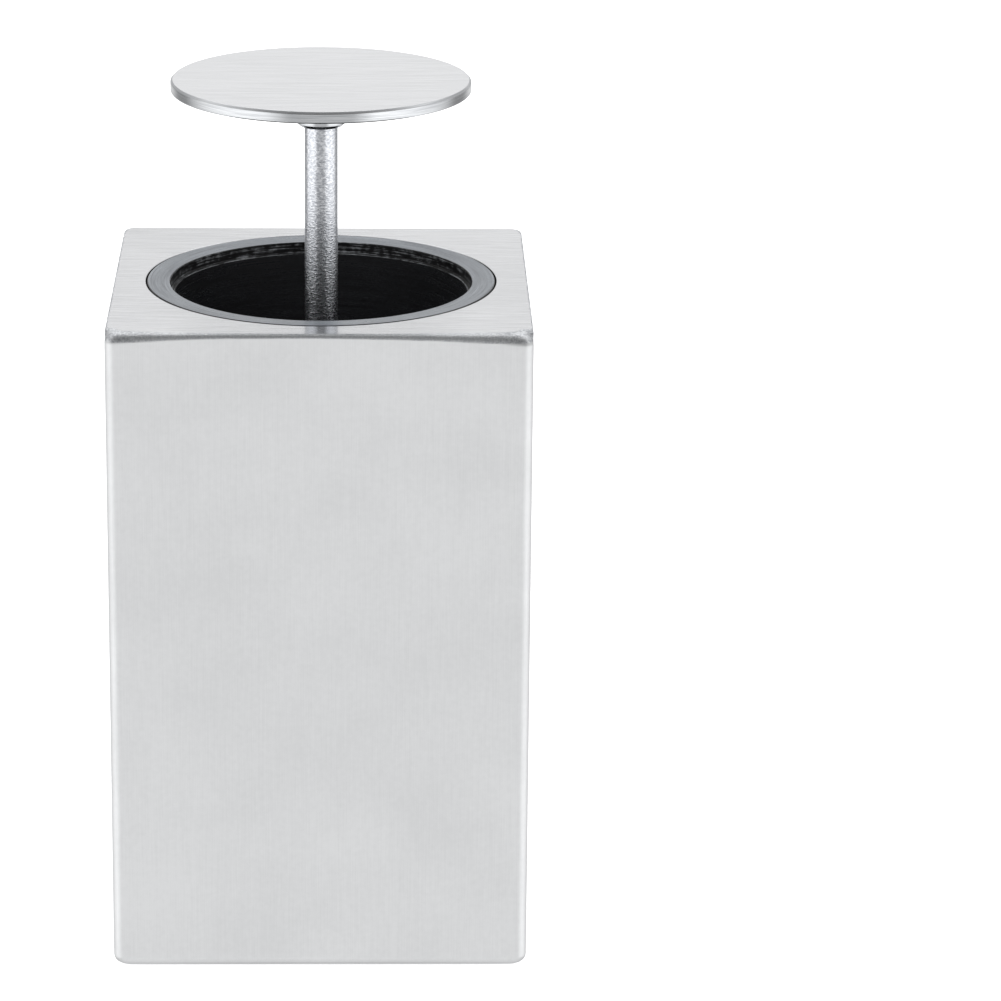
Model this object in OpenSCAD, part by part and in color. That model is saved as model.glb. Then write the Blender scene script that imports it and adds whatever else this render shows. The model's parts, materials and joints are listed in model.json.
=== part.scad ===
// Toothpick dispenser: a square brushed-steel housing with a round black cup set
// flush in its top. A lid on a stem carries a lifter plate in the cup: pulled up,
// it raises the toothpicks out of the mouth; pushed down, the lid closes the mouth.
// The model stands on its pad at z = 0, with the lid raised to its stop.

/* [Toothpicks] */
// Length of the toothpicks that stand in the cup
pick_l = 65; // [55:1:80]
// Free height over the toothpicks under the closed lid
pick_room = 1.8; // [0.5:0.1:5]

/* [Housing] */
// Side of the square housing
body_w = 50; // [48:0.5:62]
// Thickness of the steel sheet of the walls
sheet_t = 1; // [0.6:0.1:1.4]
// Thickness of the steel top plate
top_t = 1; // [0.9:0.1:2]
// Width of the plate between its side and the cup's hole, at the narrowest
plate_edge_w = 3.8; // [2.5:0.05:6]
// Radius on the top plate's upper edge
top_edge_r = 0.6; // [0.3:0.1:0.8]
// Outer radius of the vertical corners
corner_r = 1.2; // [0.9:0.1:3]
// Outer radius of the bend along the bottom edges
foot_bend_r = 1.6; // [1.6:0.1:3.2]
// Flat width of the lip folded in under the base plate
lip_w = 1; // [0.6:0.1:1.3]
// Width of the groove where the two ends of the wall sheet meet
seam_w = 0.35; // [0.1:0.05:0.6]
// Depth of that groove, measured along the corner's diagonal
seam_d = 0.45; // [0.1:0.05:0.6]
// Thickness of the plate that closes the bottom
base_t = 1; // [0.6:0.1:2]
// Gap between the base plate's edge and the bend that it lies inside
base_gap = 0.1; // [0.05:0.05:0.3]
// How far the non-slip pad stands out below the lip
pad_proud = 0.4; // [0.3:0.1:1.5]
// Gap between the non-slip pad and the lip around it
pad_gap = 0.2; // [0.05:0.05:0.5]
// Corner radius of the non-slip pad
pad_r = 2; // [0.5:0.5:5]

/* [Cup] */
// Width of the flat rim round the mouth
rim_w = 2.8; // [2.4:0.1:3.4]
// Drop of the rim from its outer edge to its inner edge
rim_fall = 0.15; // [0:0.05:0.3]
// Chamfer on the rim's outer and inner edges
rim_chamfer = 0.1; // [0.05:0.05:0.4]
// Gap between the cup and the hole in the top plate
cup_gap = 0.15; // [0.05:0.05:0.4]
// How far the stop shoulder stands out into the lifter's bore
stop_w = 0.5; // [0.5:0.05:0.9]
// Thickness of the cup's floor
floor_t = 2.2; // [1.5:0.1:4]
// Height of the spigot that centres the floor in the cup
spigot_h = 1.5; // [0.8:0.1:3]
// Radial gap between that spigot and the bore
spigot_gap = 0.05; // [0.02:0.01:0.2]
// How far the foam that bonds the cup to the base plate stays inside the cup's edge
foam_inset = 4.4; // [1:0.1:10]
// Thickness of that foam disc
foam_t = 0.8; // [0.4:0.1:2]

/* [Lid and stem] */
// Thickness of the lid
lid_t = 1.4; // [1:0.1:2.5]
// Bevel on both edges of the lid
lid_bevel = 0.15; // [0.05:0.05:0.3]
// Gap between the lid and the mouth around it
lid_gap = 0.25; // [0.2:0.05:0.8]
// How far the ledge in the mouth reaches under the lid
ledge_bite = 0.3; // [0.3:0.05:0.8]
// Height left under the closed lid, over its ledge
seat_gap = 0.05; // [0.02:0.01:0.2]
// Travel of the lid from closed to raised
lift = 24.8; // [15:0.2:30]
// Diameter of the stem
stem_d = 4; // [3.8:0.1:5]
// Diameter of the collar under the lid
collar_d = 5.9; // [5.1:0.1:8]
// Height of that collar
collar_h = 4.3; // [1:0.1:6]
// Bevel on the collar's lower edge
collar_bevel = 0.4; // [0.1:0.05:0.4]

/* [Lifter] */
// Gap between the lifter and the bore that it slides in
slide_gap = 0.2; // [0.1:0.05:0.3]
// Gap between the lifter and the stop or floor at each end of its travel
end_gap = 0.1; // [0.05:0.05:0.5]
// Thickness of the lifter under the stem
web_t = 2.2; // [1.6:0.1:4]
// Height of the lifter's lip over its middle
dish_h = 1.2; // [0.4:0.1:2.5]
// Width of the lip's flat top
lip_top_w = 0.8; // [0.5:0.1:1.5]
// Thickness of the skirt round the lifter
skirt_t = 3.6; // [3.2:0.1:4.6]
// Thickness of the plate between the skirt and the hub
plate_t = 1.7; // [1.2:0.1:2]
// Diameter of the lifter's flat middle
flat_d = 11; // [9:0.5:12]
// Diameter of the hub under the stem
hub_d = 13; // [12:0.5:16]
// Diameter of the recess for the screw's head
recess_d = 8; // [7.6:0.1:10]
// Spare depth of that recess below the screw's head
recess_spare = 0.6; // [0.3:0.1:1.5]
// Chamfer on the lifter's outer edges
lifter_chamfer = 0.2; // [0.1:0.1:0.4]
// Number of air holes through the lifter
vent_n = 4; // [2:1:8]
// Diameter of each air hole
vent_d = 1.2; // [0.8:0.1:2]

/* [Friction ring] */
// Thickness of the rubber ring that holds the lifter where it is left
ring_d = 1.8; // [1.4:0.1:2]
// Gap between the ring and what it runs against
ring_gap = 0.05; // [0.02:0.01:0.1]
// Free height of the ring in its groove, above and below
ring_play = 0.1; // [0.05:0.05:0.2]

/* [Fasteners] */
// Diameter of the thread on the lid's stud and on the lifter's screw
thread_d = 2.5; // [2:0.1:3]
// Radial gap round a thread in its tapped hole
thread_gap = 0.05; // [0.02:0.01:0.1]
// Radial gap round a thread that passes through a piece
pass_gap = 0.15; // [0.1:0.05:0.3]
// Length of thread that enters the stem at each end
thread_l = 6; // [4:0.5:10]
// Spare depth of the holes that screws bite into
tap_spare = 1.5; // [0.5:0.5:3]
// Diameter of the lifter screw's head
head_d = 5; // [4.6:0.1:5.6]
// Height of that head
head_h = 1.7; // [1.2:0.1:2.4]
// Diameter of the washer under the head
washer_d = 6.4; // [5.8:0.1:7.4]
// Thickness of that washer
washer_t = 0.5; // [0.3:0.1:1]
// Number of screws that hold the cup's floor
floor_screw_n = 4; // [3:1:6]
// Diameter of each floor screw
floor_screw_d = 1.4; // [1.2:0.1:1.6]
// Diameter of its countersunk head
floor_head_d = 2.3; // [2:0.1:2.6]
// Length of each floor screw
floor_screw_l = 8; // [6:0.5:14]
// Width of the cross cut in the lifter screw's head
driver_w = 0.6; // [0.4:0.1:0.8]
// Depth of that cross
driver_h = 0.7; // [0.3:0.1:0.8]
// Width of the cross cut in the floor screws' heads
floor_driver_w = 0.4; // [0.3:0.05:0.5]
// Depth of that cross
floor_driver_h = 0.3; // [0.2:0.05:0.4]

/* [Hidden] */
$fn = 96;
STEEL = "#c9ccd0";
BRIGHT_STEEL = "#b9bdc2";
BLACK_PLASTIC = "#1b1c1e";
BLACK_RUBBER = "#2a2a2b";
FOAM_GREY = "#8c8f93";
eps = 0.01;           // overshoot of a cut past the face that it opens
least_r = 0.2;        // tightest radius that the sheet is folded to inside
driver_share = 0.6;   // length of a driver's cross as a share of its screw's head

// Radii, from the hole in the top plate inwards
hole_r = body_w/2 - plate_edge_w;
cup_r = hole_r - cup_gap;
foam_r = cup_r - foam_inset;
mouth_r = cup_r - rim_w;
lid_r = mouth_r - lid_gap;
bore_r = lid_r - ledge_bite;
slide_r = bore_r + stop_w;          // bore that the lifter slides in
lifter_r = slide_r - slide_gap;
skirt_r = lifter_r - skirt_t;       // inside of the lifter's skirt
hub_r = hub_d/2;
vent_r = (hub_r + skirt_r)/2;
ring_out_r = slide_r - ring_gap;
ring_mid_r = ring_out_r - ring_d/2;
groove_r = ring_out_r - ring_d - ring_gap;
stem_r = stem_d/2;
thread_r = thread_d/2;
tap_r = thread_r + thread_gap;
pass_r = thread_r + pass_gap;

// Heights with the lid closed, from the table up
lip_z = pad_proud;                  // underside of the folded lip
base_z = lip_z + sheet_t;
foam_z = base_z + base_t;
floor_z = foam_z + foam_t;
cup_z = floor_z + floor_t;          // lower end of the cup's tube
spigot_z = cup_z + spigot_h;        // top of the floor's spigot
lifter_z0 = spigot_z + end_gap;
recess_h = recess_spare + head_h + washer_t;
hub_h = recess_h + web_t;           // from the lifter's underside to the stem's foot
lifter_h = hub_h + dish_h;
lid_z0 = lifter_z0 + hub_h + pick_l + pick_room;
body_h = lid_z0 + lid_t;            // the closed lid is flush with the rim
wall_top_z = body_h - top_t;

// Heights with the lid raised, which is how the model is drawn
lifter_z = lifter_z0 + lift;
stop_z = lifter_z + lifter_h + end_gap;
ring_z = lifter_z + hub_h/2;
washer_z = lifter_z + recess_h - washer_t;
stem_z = lifter_z + hub_h;
lid_z = lid_z0 + lift;
collar_z = lid_z - collar_h;

// Plan sizes at the foot
lip_open = body_w - 2*(foot_bend_r + lip_w);
base_w = body_w - 2*(foot_bend_r + base_gap);
inner_bend_r = foot_bend_r - sheet_t;
inner_corner_r = max(corner_r - sheet_t, least_r);

// Floor screws stand in the middle of the tube's wall
floor_screw_r = (slide_r + cup_r)/2;
floor_head_h = (floor_head_d - floor_screw_d)/2;

// ---------------------------------------------------------------- shared shapes

// Square of side w with its corners rounded to r, made of true arcs
module rounded_square(w, r) {
    square([w, w - 2*r], center = true);
    square([w - 2*r, w], center = true);
    for (x = [-1, 1], y = [-1, 1])
        translate([x*(w/2 - r), y*(w/2 - r)]) circle(r);
}

// Side view of a folded box: width w, from z0 to z1, bottom edges rounded to r
module fold_profile(w, z0, z1, r) {
    translate([-w/2, z0 + r]) square([w, z1 - z0 - r]);
    translate([-w/2 + r, z0]) square([w - 2*r, z1 - z0]);
    for (x = [-1, 1]) translate([x*(w/2 - r), z0 + r]) circle(r);
}

// Folded box: the bends of radius r_fold meet in mitres at the bottom corners
module folded_box(w, z0, z1, r_fold, r_corner) {
    intersection() {
        rotate([90, 0, 0]) translate([0, 0, -w])
            linear_extrude(2*w) fold_profile(w, z0, z1, r_fold);
        rotate([90, 0, 90]) translate([0, 0, -w])
            linear_extrude(2*w) fold_profile(w, z0, z1, r_fold);
        translate([0, 0, z0]) linear_extrude(z1 - z0) rounded_square(w, r_corner);
    }
}

// Square plate from z = 0 to t, with its upper edge rounded to r_top
module soft_plate(w, t, r_corner, r_top) {
    module edge_profile(half) {
        square([half, t - r_top]);
        square([half - r_top, t]);
        translate([half - r_top, t - r_top]) circle(r_top);
    }
    module half_edge(half) {
        intersection() {
            edge_profile(half);
            square([half, t]);
        }
    }
    for (a = [0:90:270]) rotate([0, 0, a]) {
        translate([0, w/2 - r_corner, 0]) rotate([90, 0, 0])
            linear_extrude(w - 2*r_corner) half_edge(w/2);
        translate([w/2 - r_corner, w/2 - r_corner, 0])
            rotate_extrude() half_edge(r_corner);
    }
}

// Places copies of its children evenly round the axis, at radius r
module around(n, r) {
    for (i = [0:n - 1]) rotate([0, 0, 360*(i + 0.5)/n]) translate([r, 0, 0]) children();
}

// ---------------------------------------------------------------- housing

// Four walls folded from one strip, with a lip turned in along the bottom
module wall_sleeve() {
    corner_mid = body_w/2 - corner_r + corner_r/sqrt(2);
    color(STEEL) difference() {
        folded_box(body_w, lip_z, wall_top_z, foot_bend_r, corner_r);
        folded_box(body_w - 2*sheet_t, base_z, body_h, inner_bend_r, inner_corner_r);
        translate([-lip_open/2, -lip_open/2, lip_z - eps])
            cube([lip_open, lip_open, sheet_t + 2*eps]);
        // the seam stands at the rear right corner
        translate([corner_mid, corner_mid, lip_z - eps]) rotate([0, 0, 45])
            translate([-seam_d, -seam_w/2, 0]) cube([2*seam_d, seam_w, body_h]);
    }
}

// Top plate with the hole that the cup stands in, welded to the walls
module top_plate() {
    color(STEEL) translate([0, 0, wall_top_z]) difference() {
        soft_plate(body_w, top_t, corner_r, top_edge_r);
        translate([0, 0, -eps]) cylinder(r = hole_r, h = top_t + 2*eps);
    }
}

// Plate that lies on the folded lip and closes the bottom
module base_plate() {
    color(STEEL) translate([0, 0, base_z]) linear_extrude(base_t)
        rounded_square(base_w, corner_r);
}

// Soft pad in the opening between the lips, which the dispenser stands on
module nonslip_pad() {
    color(BLACK_RUBBER) linear_extrude(base_z)
        rounded_square(lip_open - 2*pad_gap, pad_r);
}

// ---------------------------------------------------------------- cup

// Turned tube: a rim and a ledge for the lid above, the lifter's bore below
module cup_sleeve() {
    ledge_z = body_h - lid_t - seat_gap;
    color(BLACK_PLASTIC) difference() {
        rotate_extrude() polygon([
            [slide_r, cup_z],
            [cup_r, cup_z],
            [cup_r, body_h - rim_chamfer],
            [cup_r - rim_chamfer, body_h],
            [mouth_r + rim_chamfer, body_h - rim_fall],
            [mouth_r, body_h - rim_fall - rim_chamfer],
            [mouth_r, ledge_z],
            [bore_r, ledge_z],
            [bore_r, stop_z],
            [slide_r, stop_z],
        ]);
        around(floor_screw_n, floor_screw_r) translate([0, 0, cup_z - eps])
            cylinder(d = floor_screw_d + 2*thread_gap, h = floor_screw_l - floor_t + tap_spare);
    }
}

// Floor of the cup, centred by its spigot
module cup_floor() {
    color(BLACK_PLASTIC) difference() {
        union() {
            translate([0, 0, floor_z]) cylinder(r = cup_r, h = floor_t);
            translate([0, 0, floor_z]) cylinder(r = slide_r - spigot_gap, h = floor_t + spigot_h);
        }
        around(floor_screw_n, floor_screw_r) translate([0, 0, floor_z])
            screw_clearance();
    }
}

// Hole for one floor screw, with the seat of its countersunk head
module screw_clearance() {
    head_r = floor_head_d/2 + thread_gap;
    shank_r = floor_screw_d/2 + thread_gap;
    translate([0, 0, -eps]) cylinder(r = shank_r, h = floor_t + 2*eps);
    translate([0, 0, -eps]) cylinder(r1 = head_r + eps, r2 = shank_r, h = floor_head_h + eps);
}

// Countersunk screws from below, through the floor into the tube's wall
module floor_screws() {
    color(BRIGHT_STEEL) around(floor_screw_n, floor_screw_r) translate([0, 0, floor_z])
        difference() {
            union() {
                cylinder(d = floor_screw_d, h = floor_screw_l);
                cylinder(d1 = floor_head_d, d2 = floor_screw_d, h = floor_head_h);
            }
            driver_cut(floor_head_d*driver_share, floor_driver_w, floor_driver_h);
        }
}

// Cross cut upwards into a screw head whose face lies at z = 0
module driver_cut(length, width, depth) {
    for (a = [0, 90]) rotate([0, 0, a]) translate([-length/2, -width/2, -eps])
        cube([length, width, depth + eps]);
}

// Foam disc, sticky on both sides, that bonds the cup to the base plate
module foam_disc() {
    color(FOAM_GREY) translate([0, 0, foam_z]) cylinder(r = foam_r, h = foam_t);
}

// ---------------------------------------------------------------- lid and stem

module lid() {
    color(STEEL) translate([0, 0, lid_z]) rotate_extrude() polygon([
        [0, 0],
        [lid_r - lid_bevel, 0],
        [lid_r, lid_bevel],
        [lid_r, lid_t - lid_bevel],
        [lid_r - lid_bevel, lid_t],
        [0, lid_t],
    ]);
}

// Threaded stud welded under the lid, which shows no screw on top
module lid_stud() {
    color(BRIGHT_STEEL) translate([0, 0, collar_z - thread_l])
        cylinder(r = thread_r, h = collar_h + thread_l);
}

module collar() {
    color(BRIGHT_STEEL) translate([0, 0, collar_z]) difference() {
        rotate_extrude() polygon([
            [0, 0],
            [collar_d/2 - collar_bevel, 0],
            [collar_d/2, collar_bevel],
            [collar_d/2, collar_h],
            [0, collar_h],
        ]);
        translate([0, 0, -eps]) cylinder(r = pass_r, h = collar_h + 2*eps);
    }
}

// Rod tapped at both ends, for the lid's stud and for the lifter's screw
module stem() {
    tap_h = thread_l + tap_spare;
    color(BRIGHT_STEEL) difference() {
        translate([0, 0, stem_z]) cylinder(r = stem_r, h = collar_z - stem_z);
        translate([0, 0, stem_z - eps]) cylinder(r = tap_r, h = tap_h + eps);
        translate([0, 0, collar_z - tap_h]) cylinder(r = tap_r, h = tap_h + eps);
    }
}

// ---------------------------------------------------------------- lifter

// Dished plate that carries the toothpicks, hollow below, with a groove for the ring
module lifter() {
    groove_z0 = ring_z - lifter_z - ring_d/2 - ring_play;
    groove_z1 = ring_z - lifter_z + ring_d/2 + ring_play;
    dish_r = lifter_r - lifter_chamfer - lip_top_w;
    flat_r = flat_d/2;
    // the hollow's ceiling follows the dish, plate_t below it
    slope = dish_h/(dish_r - flat_r);
    hollow_in_z = hub_h + slope*(hub_r - flat_r) - plate_t;
    hollow_out_z = hub_h + slope*(skirt_r - flat_r) - plate_t;
    color(BLACK_PLASTIC) translate([0, 0, lifter_z]) difference() {
        rotate_extrude() polygon([
            [0, recess_h],
            [recess_d/2, recess_h],
            [recess_d/2, 0],
            [hub_r, 0],
            [hub_r, hollow_in_z],
            [skirt_r, hollow_out_z],
            [skirt_r, 0],
            [lifter_r - lifter_chamfer, 0],
            [lifter_r, lifter_chamfer],
            [lifter_r, groove_z0],
            [groove_r, groove_z0],
            [groove_r, groove_z1],
            [lifter_r, groove_z1],
            [lifter_r, lifter_h - lifter_chamfer],
            [lifter_r - lifter_chamfer, lifter_h],
            [dish_r, lifter_h],
            [flat_r, hub_h],
            [0, hub_h],
        ]);
        translate([0, 0, recess_h - eps]) cylinder(r = pass_r, h = web_t + 2*eps);
        around(vent_n, vent_r) cylinder(d = vent_d, h = lifter_h + eps);
    }
}

// Rubber ring between the lifter and the bore
module friction_ring() {
    color(BLACK_RUBBER) translate([0, 0, ring_z])
        rotate_extrude() translate([ring_mid_r, 0]) circle(d = ring_d);
}

module lifter_washer() {
    color(BRIGHT_STEEL) translate([0, 0, washer_z]) difference() {
        cylinder(d = washer_d, h = washer_t);
        translate([0, 0, -eps]) cylinder(r = pass_r, h = washer_t + 2*eps);
    }
}

// Screw from below, through the washer and the lifter into the stem
module lifter_screw() {
    color(BRIGHT_STEEL) translate([0, 0, washer_z - head_h]) difference() {
        union() {
            cylinder(d = head_d, h = head_h);
            cylinder(r = thread_r, h = head_h + washer_t + web_t + thread_l);
        }
        driver_cut(head_d*driver_share, driver_w, driver_h);
    }
}

wall_sleeve();
top_plate();
base_plate();
nonslip_pad();
cup_sleeve();
cup_floor();
floor_screws();
foam_disc();
friction_ring();
lid();
lid_stud();
collar();
stem();
lifter();
lifter_washer();
lifter_screw();
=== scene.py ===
# %% [markdown]
# # Dressing a lift-up toothpick dispenser
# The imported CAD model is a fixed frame: a square steel housing, a round black cup set flush in
# its top, and a lid on a stem that slides up and down in the cup. This lesson keeps every size
# of that frame and gives each piece the finish of the real one. The steel is the hard part.
# Brushed steel has hardly any colour of its own, so nearly all that the eye sees is the grain
# of the metal and what stands around it.

import json
import math

import bmesh
import bpy
from mathutils import Matrix, Vector, noise


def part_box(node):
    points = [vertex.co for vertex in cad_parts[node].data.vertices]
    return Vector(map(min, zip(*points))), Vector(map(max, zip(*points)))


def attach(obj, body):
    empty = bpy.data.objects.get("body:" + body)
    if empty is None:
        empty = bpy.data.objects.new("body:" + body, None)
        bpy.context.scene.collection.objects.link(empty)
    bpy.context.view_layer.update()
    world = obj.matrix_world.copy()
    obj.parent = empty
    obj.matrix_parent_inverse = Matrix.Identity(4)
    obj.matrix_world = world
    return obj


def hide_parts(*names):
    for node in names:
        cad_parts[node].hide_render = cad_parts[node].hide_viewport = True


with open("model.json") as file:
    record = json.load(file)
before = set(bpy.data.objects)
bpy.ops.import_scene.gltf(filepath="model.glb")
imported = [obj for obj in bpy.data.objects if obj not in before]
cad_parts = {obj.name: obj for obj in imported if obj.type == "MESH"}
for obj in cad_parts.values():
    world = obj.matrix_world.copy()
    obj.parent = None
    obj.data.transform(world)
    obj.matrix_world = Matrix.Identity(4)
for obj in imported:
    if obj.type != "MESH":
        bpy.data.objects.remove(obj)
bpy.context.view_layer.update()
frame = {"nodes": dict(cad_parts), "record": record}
MM = 0.001

# %% [markdown]
# ## The camera
# The photograph was taken from a little above and nearly square to the front, with a long lens:
# the sides of the housing run almost parallel. The values below were found by matching the
# corners of the housing, both circles of the cup and the lid. The camera comes first, because
# every later choice is judged through it.

# %% Camera
LENS_MM = 167.33         # focal length on a 36 mm wide sensor
CAMERA_AT = Vector((5.46, -545.5, 227.2)) * MM
LOOK_DOWN = math.radians(17.796)
LOOK_RIGHT = math.radians(1.739)
ROLL = math.radians(0.63)


def make_camera():
    """Puts the camera where the photograph was taken from."""
    data = bpy.data.cameras.new("camera")
    data.lens = LENS_MM
    data.sensor_width = 36
    data.clip_start = 0.01
    data.clip_end = 20
    camera = bpy.data.objects.new("camera", data)
    bpy.context.scene.collection.objects.link(camera)
    level = math.cos(LOOK_DOWN)
    ahead = Vector((math.sin(LOOK_RIGHT) * level, math.cos(LOOK_RIGHT) * level,
                    -math.sin(LOOK_DOWN)))
    right = ahead.cross(Vector((0, 0, 1))).normalized()
    up = right.cross(ahead)
    rolled_right = right * math.cos(ROLL) + up * math.sin(ROLL)
    rolled_up = up * math.cos(ROLL) - right * math.sin(ROLL)
    turn = Matrix((rolled_right, rolled_up, -ahead)).transposed()
    camera.matrix_world = Matrix.Translation(CAMERA_AT) @ turn.to_4x4()
    bpy.context.scene.camera = camera


make_camera()
print("camera stands", round(CAMERA_AT.length, 3), "m away")

# %% [markdown]
# ## Sizes
# What the frame can tell is read from it, such as the side of the housing or the height of the
# rim. Roundings, gaps and steps inside a piece don't show in its box, so they are repeated here
# in millimetres, as the drawing of the part has them.

# %% Sizes read from the frame, and the few that it can't give
WALL_LOW, WALL_HIGH = (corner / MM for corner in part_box("wall_sleeve"))
PLATE_LOW, PLATE_HIGH = (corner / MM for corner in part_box("top_plate"))
CUP_LOW, CUP_HIGH = (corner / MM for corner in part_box("cup_sleeve"))
LID_LOW, LID_HIGH = (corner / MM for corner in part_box("lid"))
COLLAR_LOW, COLLAR_HIGH = (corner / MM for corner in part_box("collar"))
STEM_LOW, STEM_HIGH = (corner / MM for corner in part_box("stem"))
LIFTER_LOW, LIFTER_HIGH = (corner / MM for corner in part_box("lifter"))
RING_LOW, RING_HIGH = (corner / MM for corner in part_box("friction_ring"))
PAD_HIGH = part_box("nonslip_pad")[1] / MM

HALF = WALL_HIGH.x
TOP_Z = PLATE_HIGH.z
SEAT_Z = PLATE_LOW.z     # where the top plate lies on the walls
SHEET = 1.0
CORNER_R = 1.2           # vertical corners
FOOT_BEND_R = 1.6        # bend along the bottom edges
LIP_W = 1.0              # lip folded in under the base plate
SEAM_W = 0.35            # groove where the two ends of the wall sheet meet
SEAM_DEPTH = 0.45
CUP_GAP = 0.15           # between the cup and the hole in the plate
HOLE_R = CUP_HIGH.x + CUP_GAP
RIM_W = 2.8
RIM_FALL = 0.15
RIM_CHAMFER = 0.1
MOUTH_R = CUP_HIGH.x - RIM_W
LEDGE_BITE = 0.3
BORE_R = LID_HIGH.x - LEDGE_BITE
STOP_W = 0.5
SLIDE_R = BORE_R + STOP_W
END_GAP = 0.1
SEAT_GAP = 0.05
LID_T = LID_HIGH.z - LID_LOW.z
print("housing", round(2 * HALF, 2), "mm wide, rim at", round(TOP_Z, 2), "mm, lid at",
      round(LID_HIGH.z, 2))

# %% [markdown]
# ## Two ways to make a mesh
# Most pieces of this dispenser come off a lathe, so their meshes do too: a half outline is spun
# round the axis. The housing is folded from sheet. Its mesh is a stack of square rings that are
# joined one to the next, the way a loft works. In both, real edges are never knife-sharp, and
# a small rounding on each is what catches the light.

# %% Ease the corners of an outline
EDGE_STEPS = 4
MOST_OF_SIDE = 0.45      # an easing takes no more than this share of the side next to it


def eased(corners, closed=True):
    """Points of an outline of (radius, height, easing) corners, each rounded by its easing, in mm."""
    points = []
    count = len(corners)
    for index, (radius, height, easing) in enumerate(corners):
        here = Vector((radius, height))
        at_end = not closed and index in (0, count - 1)
        if easing == 0 or at_end:
            points.append(here)
            continue
        back = Vector(corners[index - 1][:2]) - here
        ahead = Vector(corners[(index + 1) % count][:2]) - here
        reach = min(easing, MOST_OF_SIDE * back.length, MOST_OF_SIDE * ahead.length)
        start = here + back.normalized() * reach
        end = here + ahead.normalized() * reach
        for step in range(EDGE_STEPS + 1):
            share = step / EDGE_STEPS
            points.append(start.lerp(here, share).lerp(here.lerp(end, share), share))
    return points


print("one eased corner has", len(eased([(0, 0, 0), (2, 0, 0.5), (2, 2, 0)])) - 2, "points")

# %% Spin an outline, or join a stack of rings
SHARP_FROM = math.radians(50)


def add_object(name, bm):
    """Makes an object of a finished bmesh, shaded smooth but for its sharp edges."""
    bmesh.ops.recalc_face_normals(bm, faces=bm.faces)
    for face in bm.faces:
        face.smooth = True
    for edge in bm.edges:
        if len(edge.link_faces) == 2 and edge.calc_face_angle() > SHARP_FROM:
            edge.smooth = False
    mesh = bpy.data.meshes.new(name)
    bm.to_mesh(mesh)
    bm.free()
    piece = bpy.data.objects.new(name, mesh)
    bpy.context.scene.collection.objects.link(piece)
    return piece


def turned(name, corners, segments, closed=True):
    """A turned piece: the outline, in mm, spun round the z axis."""
    bm = bmesh.new()
    verts = [bm.verts.new((p.x * MM, 0, p.y * MM)) for p in eased(corners, closed)]
    chain = verts[1:] + verts[:1] if closed else verts[1:]
    edges = [bm.edges.new(pair) for pair in zip(verts, chain)]
    bmesh.ops.spin(bm, geom=verts + edges, axis=(0, 0, 1), cent=(0, 0, 0), angle=math.tau,
                   steps=segments, use_merge=True)
    bmesh.ops.remove_doubles(bm, verts=bm.verts, dist=0.0001 * MM)
    return add_object(name, bm)


def lofted(name, rings):
    """A closed sleeve: rings of equally many points, in mm, joined each to the next, last to first."""
    bm = bmesh.new()
    rows = [[bm.verts.new(Vector(point) * MM) for point in ring] for ring in rings]
    count = len(rows[0])
    for lower, upper in zip(rows, rows[1:] + rows[:1]):
        for i in range(count):
            j = (i + 1) % count
            bm.faces.new((lower[i], lower[j], upper[j], upper[i]))
    return add_object(name, bm)


# %% Join or cut, and drill
DRILL_SEGMENTS = 32


def carve(piece, tool, operation):
    """Joins a closed tool shape to a piece, or cuts it away, and drops the tool."""
    change = piece.modifiers.new("carve", "BOOLEAN")
    change.operation = operation
    change.solver = "EXACT"
    change.object = tool
    whole = piece.data
    seen = bpy.context.evaluated_depsgraph_get()
    piece.data = bpy.data.meshes.new_from_object(piece.evaluated_get(seen))
    piece.modifiers.clear()
    bpy.data.meshes.remove(whole)
    bpy.data.objects.remove(tool)


def drill(piece, centres, radius, low, high):
    """Cuts round holes from height low to high at the given (x, y) centres, in mm."""
    bm = bmesh.new()
    for x, y in centres:
        place = Matrix.Translation(Vector((x, y, (low + high) / 2)) * MM)
        bmesh.ops.create_cone(bm, cap_ends=True, segments=DRILL_SEGMENTS, radius1=radius * MM,
                              radius2=radius * MM, depth=(high - low) * MM, matrix=place)
    carve(piece, add_object("drill_bits", bm), "DIFFERENCE")


def around(count, radius):
    """(x, y) places spread evenly round the axis, starting half a step in."""
    turns = [math.tau * (i + 0.5) / count for i in range(count)]
    return [(radius * math.cos(turn), radius * math.sin(turn)) for turn in turns]


print("four holes stand at", [tuple(round(side, 1) for side in place) for place in around(4, 10)])

# %% [markdown]
# ## Into the frame
# A finished piece takes the place of one CAD node. It rides on the body that carries that node,
# so it moves with the joints. Weighted normals keep large flats flat next to small roundings.

# %% Fit a finished piece into the frame
BODIES = frame["record"]["behaviour"]["bodies"]
BODY_OF = {node: body for body, nodes in BODIES.items() for node in nodes}


def fit(piece, node, slot, *materials):
    """Gives a piece its finish, and puts it in the place of one CAD node."""
    for material in materials:
        piece.data.materials.append(material)
    flat_first = piece.modifiers.new("flats_stay_flat", "WEIGHTED_NORMAL")
    flat_first.keep_sharp = True
    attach(piece, BODY_OF[node])
    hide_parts(node)
    low, high = (Vector(corner) / MM for corner in (piece.bound_box[0], piece.bound_box[6]))
    print(f"{piece.name}: {len(piece.data.polygons)} faces, z {low.z:.2f} to {high.z:.2f} mm")


# %% [markdown]
# ## Tools for the finishes
# Colours are written the way a designer notes them, as sRGB hex values, and one function turns
# them into the linear values that a shader wants. One small function adds a node, sets what it
# is given and joins what it is handed. A pattern is made by stretching noise to a real size in
# millimetres, which keeps the grain true whatever the size of the piece.

# %% Colours and nodes
def linear(code):
    """Linear RGBA of an sRGB hex colour such as "#d7d8da"."""
    shares = [int(code[i:i + 2], 16) / 255 for i in (1, 3, 5)]
    return [s / 12.92 if s <= 0.04045 else ((s + 0.055) / 1.055) ** 2.4 for s in shares] + [1]


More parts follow.
